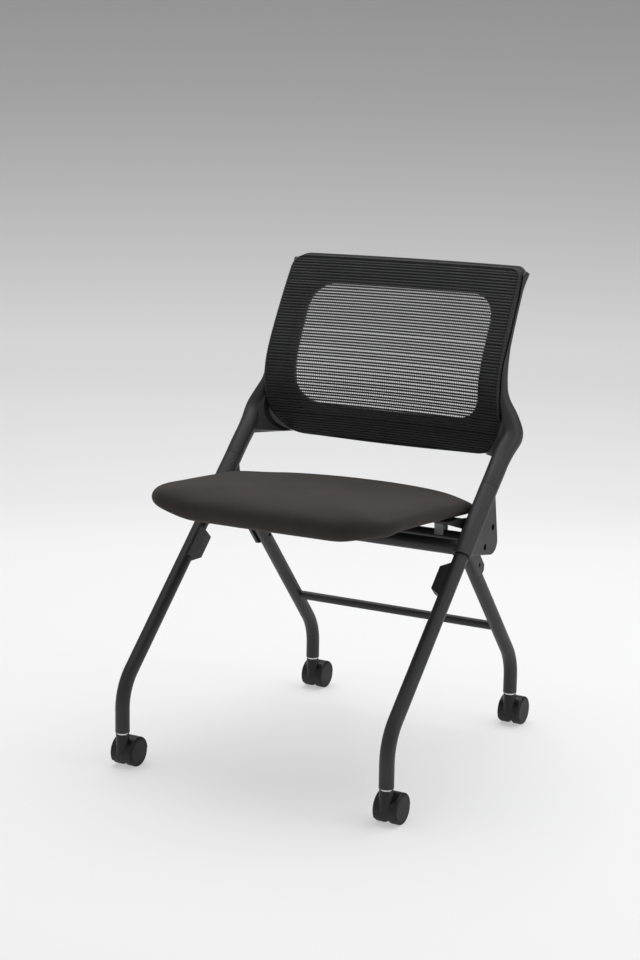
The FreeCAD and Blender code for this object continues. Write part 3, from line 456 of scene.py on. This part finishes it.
def add_threads(tubes, panel):
    """Fine threads up the back behind the ribs, their ends turned round its edge."""
    half = int(panel.high.x / THREAD_PITCH)
    for j in range(-half, half + 1):
        x = j * THREAD_PITCH
        if panel.reach(panel.middle) - abs(x) < THREAD_RADIUS:
            continue
        low, high = panel.span(x)
        count = int((high - low) / THREAD_STEP)
        row = []
        for i in range(count + 1):
            z = low + (high - low) * (THREAD_END_SHARE + (1 - 2 * THREAD_END_SHARE) * i / count)
            row.append(Vector((x, panel.depth(x, z) + MESH_DEPTH + THREAD_DEPTH, z)))
        row.insert(0, row[0] + Vector((0, WRAP, -THREAD_TURN)))
        row.append(row[-1] + Vector((0, WRAP, THREAD_TURN)))
        tubes.sweep(row, [Vector((1, 0, 0))] * len(row), THREAD_RADIUS, THREAD_RADIUS, THREAD_SIDES)


def back_fabric():
    """Woven mesh: flat ribs across the back with fine threads between them."""
    panel = Panel("back_mesh")
    tubes = Tubes()
    add_ribs(tubes, panel)
    add_hem(tubes, panel)
    add_threads(tubes, panel)
    fabric = new_object("back_fabric", tubes.vertices, tubes.faces, "mesh")
    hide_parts("back_mesh")
    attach(fabric, "frame")
    panel.flat_size()


def smooth_step(low, high, value):
    """Share from 0 at low to 1 at high, level at both ends."""
    share = min(1.0, max(0.0, (value - low) / (high - low)))
    return share * share * (3 - 2 * share)


class SeatFrame:
    """Level coordinates of the seat, tilted about its pivot, and the cushion's plan outline."""

    def __init__(self):
        joint = [j for j in frame["joints"] if j["name"] == "seat_flip"][0]
        pivot = Vector(joint["pos_m"])
        self.to_world = Matrix.Translation(pivot) @ Matrix.Rotation(math.radians(-SEAT_TILT), 4, "X")
        to_seat = self.to_world.inverted()
        mesh = nodes["seat_cushion"].data
        points = [to_seat @ v.co for v in mesh.vertices]
        self.tree = BVHTree.FromPolygons(points, [tuple(p.vertices) for p in mesh.polygons])
        self.front = min(p.y for p in points)
        self.rear = max(p.y for p in points)
        self.middle = Vector((0.0, (self.front + self.rear) / 2, 0.0))
        self.outline = self.even_outline(SEAT_EDGE_POINTS)

    def edge(self, turn):
        """Outline's point in a direction from the middle."""
        outward = Vector((math.sin(turn), -math.cos(turn), 0.0))
        start = self.middle + outward + Vector((0, 0, SEAT_RISE + SEAT_EDGE_HEIGHT))
        hit = self.tree.ray_cast(start, -outward)[0]
        swell = SEAT_SWELL * smooth_step(REAR_END, REAR_START, self.rear - hit.y)
        return Vector((hit.x, hit.y, 0.0)) + outward * swell

    def even_outline(self, count):
        """Points an even distance apart round the outline."""
        fine = [self.edge(2 * math.pi * i / SEAT_EDGE_RAYS) for i in range(SEAT_EDGE_RAYS)]
        fine.append(fine[0])
        walked = [0.0]
        for a, b in zip(fine, fine[1:]):
            walked.append(walked[-1] + (b - a).length)
        points = []
        k = 0
        for i in range(count):
            goal = walked[-1] * i / count
            while walked[k + 1] < goal:
                k += 1
            share = (goal - walked[k]) / (walked[k + 1] - walked[k])
            points.append(fine[k].lerp(fine[k + 1], share))
        return points

    def section(self, edge, side, rear, front):
        """Inset and height of a ring at an outline point, between its three sections."""
        to_rear = smooth_step(REAR_START, REAR_END, self.rear - edge.y)
        to_front = smooth_step(LIP_END, LIP_START, edge.y - self.front)
        to_front *= 1 - LIP_CORNER * smooth_step(LIP_CORNER_START, LIP_CORNER_END, abs(edge.x))
        return [s + (r - s) * to_rear + (f - s) * to_front for s, r, f in zip(side, rear, front)]

    def shell(self):
        """Vertices and faces of the closed cushion, ring by ring from its top to its underside."""
        count = len(self.outline)
        vertices = [self.middle + Vector((0, 0, SEAT_RISE + SIDE_RINGS[0][1]))]
        for rings in zip(SIDE_RINGS, REAR_RINGS, FRONT_RINGS):
            for edge in self.outline:
                inset, high = self.section(edge, *rings)
                inward = self.middle - edge
                place = edge + inward * (inset / inward.length)
                vertices.append(place + Vector((0, 0, SEAT_RISE + high)))
        vertices.append(self.middle + Vector((0, 0, SEAT_RISE + SIDE_RINGS[-1][1])))
        faces = []
        last = len(vertices) - 1
        rim = last - count
        for i in range(count):
            j = (i + 1) % count
            faces.append((0, 1 + i, 1 + j))
            for a in range(1, rim, count):
                b = a + count
                faces.append((a + i, b + i, b + j, a + j))
            faces.append((rim + i, last, rim + j))
        return [self.to_world @ v for v in vertices], faces


def bake(obj):
    """Modifiers turned into the object's own mesh."""
    bpy.context.view_layer.update()
    graph = bpy.context.evaluated_depsgraph_get()
    mesh = bpy.data.meshes.new_from_object(obj.evaluated_get(graph))
    obj.modifiers.clear()
    obj.data = mesh


def refine(obj):
    """One level of subdivision."""
    finer = obj.modifiers.new("finer", "SUBSURF")
    finer.levels = 1
    finer.render_levels = 1


def puffed_cover(pad):
    """Cloth under a slight inner pressure, held where it meets the board."""
    held = pad.vertex_groups.new(name="held")
    held.add([v.index for v in pad.data.vertices if v.normal.z < PUFF_HELD_SLOPE], 1.0, "REPLACE")
    cloth = pad.modifiers.new("cover", "CLOTH")
    settings = cloth.settings
    settings.quality = 6
    settings.mass = 0.3
    settings.tension_stiffness = 40
    settings.compression_stiffness = 40
    settings.shear_stiffness = 15
    settings.bending_stiffness = 2
    settings.use_pressure = True
    settings.uniform_pressure_force = 3.0
    settings.vertex_group_mass = "held"
    settings.effector_weights.gravity = 0.0
    cloth.collision_settings.use_collision = False
    cloth.point_cache.frame_start = 1
    cloth.point_cache.frame_end = PUFF_FRAMES
    scene = bpy.context.scene
    for number in range(1, PUFF_FRAMES + 1):
        scene.frame_set(number)
    bake(pad)
    scene.frame_set(1)


def inflate(pad):
    """Simulated puff of the cover, its moves evened out and kept small."""
    before = [v.co.copy() for v in pad.data.vertices]
    puffed_cover(pad)
    moves = [v.co - start for v, start in zip(pad.data.vertices, before)]
    beside = [[] for _ in moves]
    for edge in pad.data.edges:
        a, b = edge.vertices
        beside[a].append(b)
        beside[b].append(a)
    for _ in range(PUFF_PASSES):
        moves = [sum((moves[k] for k in near), Vector()) / len(near) for near in beside]
    for v, start, move in zip(pad.data.vertices, before, moves):
        v.co = start + move * min(1.0, PUFF_LIMIT / max(move.length, 1e-9))
    pad.vertex_groups.clear()


def cushion():
    """Seat cushion with a waterfall front, its cover blown up a little by a cloth simulation."""
    vertices, faces = SeatFrame().shell()
    pad = new_object("seat_pad", vertices, faces, "seat_fabric")
    refine(pad)
    bake(pad)
    inflate(pad)
    soften = pad.modifiers.new("soften", "SMOOTH")
    soften.factor = 0.5
    soften.iterations = 3
    refine(pad)
    bake(pad)
    pad.data.shade_smooth()
    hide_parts("seat_cushion")
    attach(pad, "seat")


def camera_axes():
    """Camera's right, up and backward directions."""
    yaw, pitch, roll = (math.radians(a) for a in (YAW, PITCH, ROLL))
    back = Vector((math.sin(yaw) * math.cos(pitch), -math.cos(yaw) * math.cos(pitch), math.sin(pitch)))
    right = Vector((math.cos(yaw), math.sin(yaw), 0))
    up = back.cross(right)
    turned_right = right * math.cos(roll) + up * math.sin(roll)
    turned_up = up * math.cos(roll) - right * math.sin(roll)
    return turned_right, turned_up, back


def add_camera():
    """Camera at the photo's viewing angle."""
    right, up, back = camera_axes()
    data = bpy.data.cameras.new("photo_camera")
    data.lens = LENS
    data.sensor_width = SENSOR
    data.clip_end = CLIP_END
    camera = bpy.data.objects.new("photo_camera", data)
    eye = TARGET + back * DISTANCE
    camera.matrix_world = Matrix(((right.x, up.x, back.x, eye.x), (right.y, up.y, back.y, eye.y),
                                  (right.z, up.z, back.z, eye.z), (0, 0, 0, 1)))
    bpy.context.scene.collection.objects.link(camera)
    bpy.context.scene.camera = camera


def add_light(name, place, aim, size, power):
    """White rectangular light that faces a point."""
    data = bpy.data.lights.new(name, "AREA")
    data.shape = "RECTANGLE"
    data.size, data.size_y = size
    data.energy = power
    light = bpy.data.objects.new(name, data)
    light.location = place
    light.rotation_euler = (Vector(aim) - Vector(place)).to_track_quat("-Z", "Y").to_euler()
    bpy.context.scene.collection.objects.link(light)


def sweep_ramp(tree, stops):
    """Grey by distance behind the chair plus height, from (distance, grey) stops."""
    place = tree.nodes.new("ShaderNodeTexCoord")
    split = tree.nodes.new("ShaderNodeSeparateXYZ")
    total = tree.nodes.new("ShaderNodeMath")
    total.operation = "ADD"
    span = tree.nodes.new("ShaderNodeMapRange")
    span.inputs["From Max"].default_value = SWEEP_REACH
    ramp = tree.nodes.new("ShaderNodeValToRGB")
    elements = ramp.color_ramp.elements
    elements.remove(elements[1])
    for k, (distance, grey) in enumerate(stops):
        stop = elements.new(distance / SWEEP_REACH) if k else elements[0]
        stop.position = distance / SWEEP_REACH
        stop.color = (grey, grey, grey * SWEEP_BLUE, 1.0)
    tree.links.new(place.outputs["Object"], split.inputs["Vector"])
    tree.links.new(split.outputs["Y"], total.inputs[0])
    tree.links.new(split.outputs["Z"], total.inputs[1])
    tree.links.new(total.outputs["Value"], span.inputs["Value"])
    tree.links.new(span.outputs["Result"], ramp.inputs["Fac"])
    return ramp.outputs["Color"]


def sweep_material():
    """Pale floor that darkens up the wall behind, part of it shown as plain background."""
    material = make_material("sweep", (0.9, 0.9, 0.9), 0.9, specular=0.0)
    tree = material.node_tree
    shader = tree.nodes["Principled BSDF"]
    tree.links.new(sweep_ramp(tree, SWEEP_COLOR), shader.inputs["Base Color"])
    glow = tree.nodes.new("ShaderNodeEmission")
    tree.links.new(sweep_ramp(tree, SWEEP_GLOW), glow.inputs["Color"])
    path = tree.nodes.new("ShaderNodeLightPath")
    seen = path.outputs["Is Camera Ray"]
    for kind in ("Is Glossy Ray", "Is Transmission Ray"):
        either = tree.nodes.new("ShaderNodeMath")
        either.operation = "MAXIMUM"
        tree.links.new(seen, either.inputs[0])
        tree.links.new(path.outputs[kind], either.inputs[1])
        seen = either.outputs["Value"]
    share = tree.nodes.new("ShaderNodeMath")
    share.operation = "MULTIPLY"
    share.inputs[1].default_value = GLOW_SHARE
    tree.links.new(seen, share.inputs[0])
    mix = tree.nodes.new("ShaderNodeMixShader")
    tree.links.new(share.outputs["Value"], mix.inputs["Fac"])
    tree.links.new(shader.outputs["BSDF"], mix.inputs[1])
    tree.links.new(glow.outputs["Emission"], mix.inputs[2])
    tree.links.new(mix.outputs["Shader"], tree.nodes["Material Output"].inputs["Surface"])
    return material


def add_stage():
    """Floor and backdrop in one sweep, square to the camera."""
    profile = [(SWEEP_FRONT, 0.0), (SWEEP_LEVEL, 0.0)]
    for i in range(SWEEP_BEND_STEPS + 1):
        turn = math.radians(90 * i / SWEEP_BEND_STEPS)
        profile.append((SWEEP_FLAT + SWEEP_BEND * math.sin(turn), SWEEP_BEND - SWEEP_BEND * math.cos(turn)))
    profile.append((SWEEP_FLAT + SWEEP_BEND, SWEEP_HEIGHT))
    sides = (-SWEEP_HALF_WIDTH, SWEEP_HALF_WIDTH)
    vertices = [(reach, along, height) for along, height in profile for reach in sides]
    faces = [(2 * i, 2 * i + 1, 2 * i + 3, 2 * i + 2) for i in range(len(profile) - 1)]
    mesh = bpy.data.meshes.new("sweep")
    mesh.from_pydata(vertices, [], faces)
    mesh.shade_smooth()
    mesh.materials.append(sweep_material())
    sweep = bpy.data.objects.new("sweep", mesh)
    sweep.rotation_euler.z = math.radians(YAW)
    bpy.context.scene.collection.objects.link(sweep)


def add_world():
    """Even white light from all round."""
    world = bpy.data.worlds.new("studio")
    world.use_nodes = True
    backdrop = world.node_tree.nodes["Background"]
    backdrop.inputs["Color"].default_value = (1.0, 1.0, 1.0, 1.0)
    backdrop.inputs["Strength"].default_value = WORLD_STRENGTH
    bpy.context.scene.world = world


def add_studio():
    """World, floor, backdrop and soft lights."""
    add_world()
    add_stage()
    for light in LIGHTS:
        add_light(*light)
    bpy.context.scene.view_settings.view_transform = "Standard"


paint_nodes()
back_fabric()
cushion()
add_studio()
add_camera()
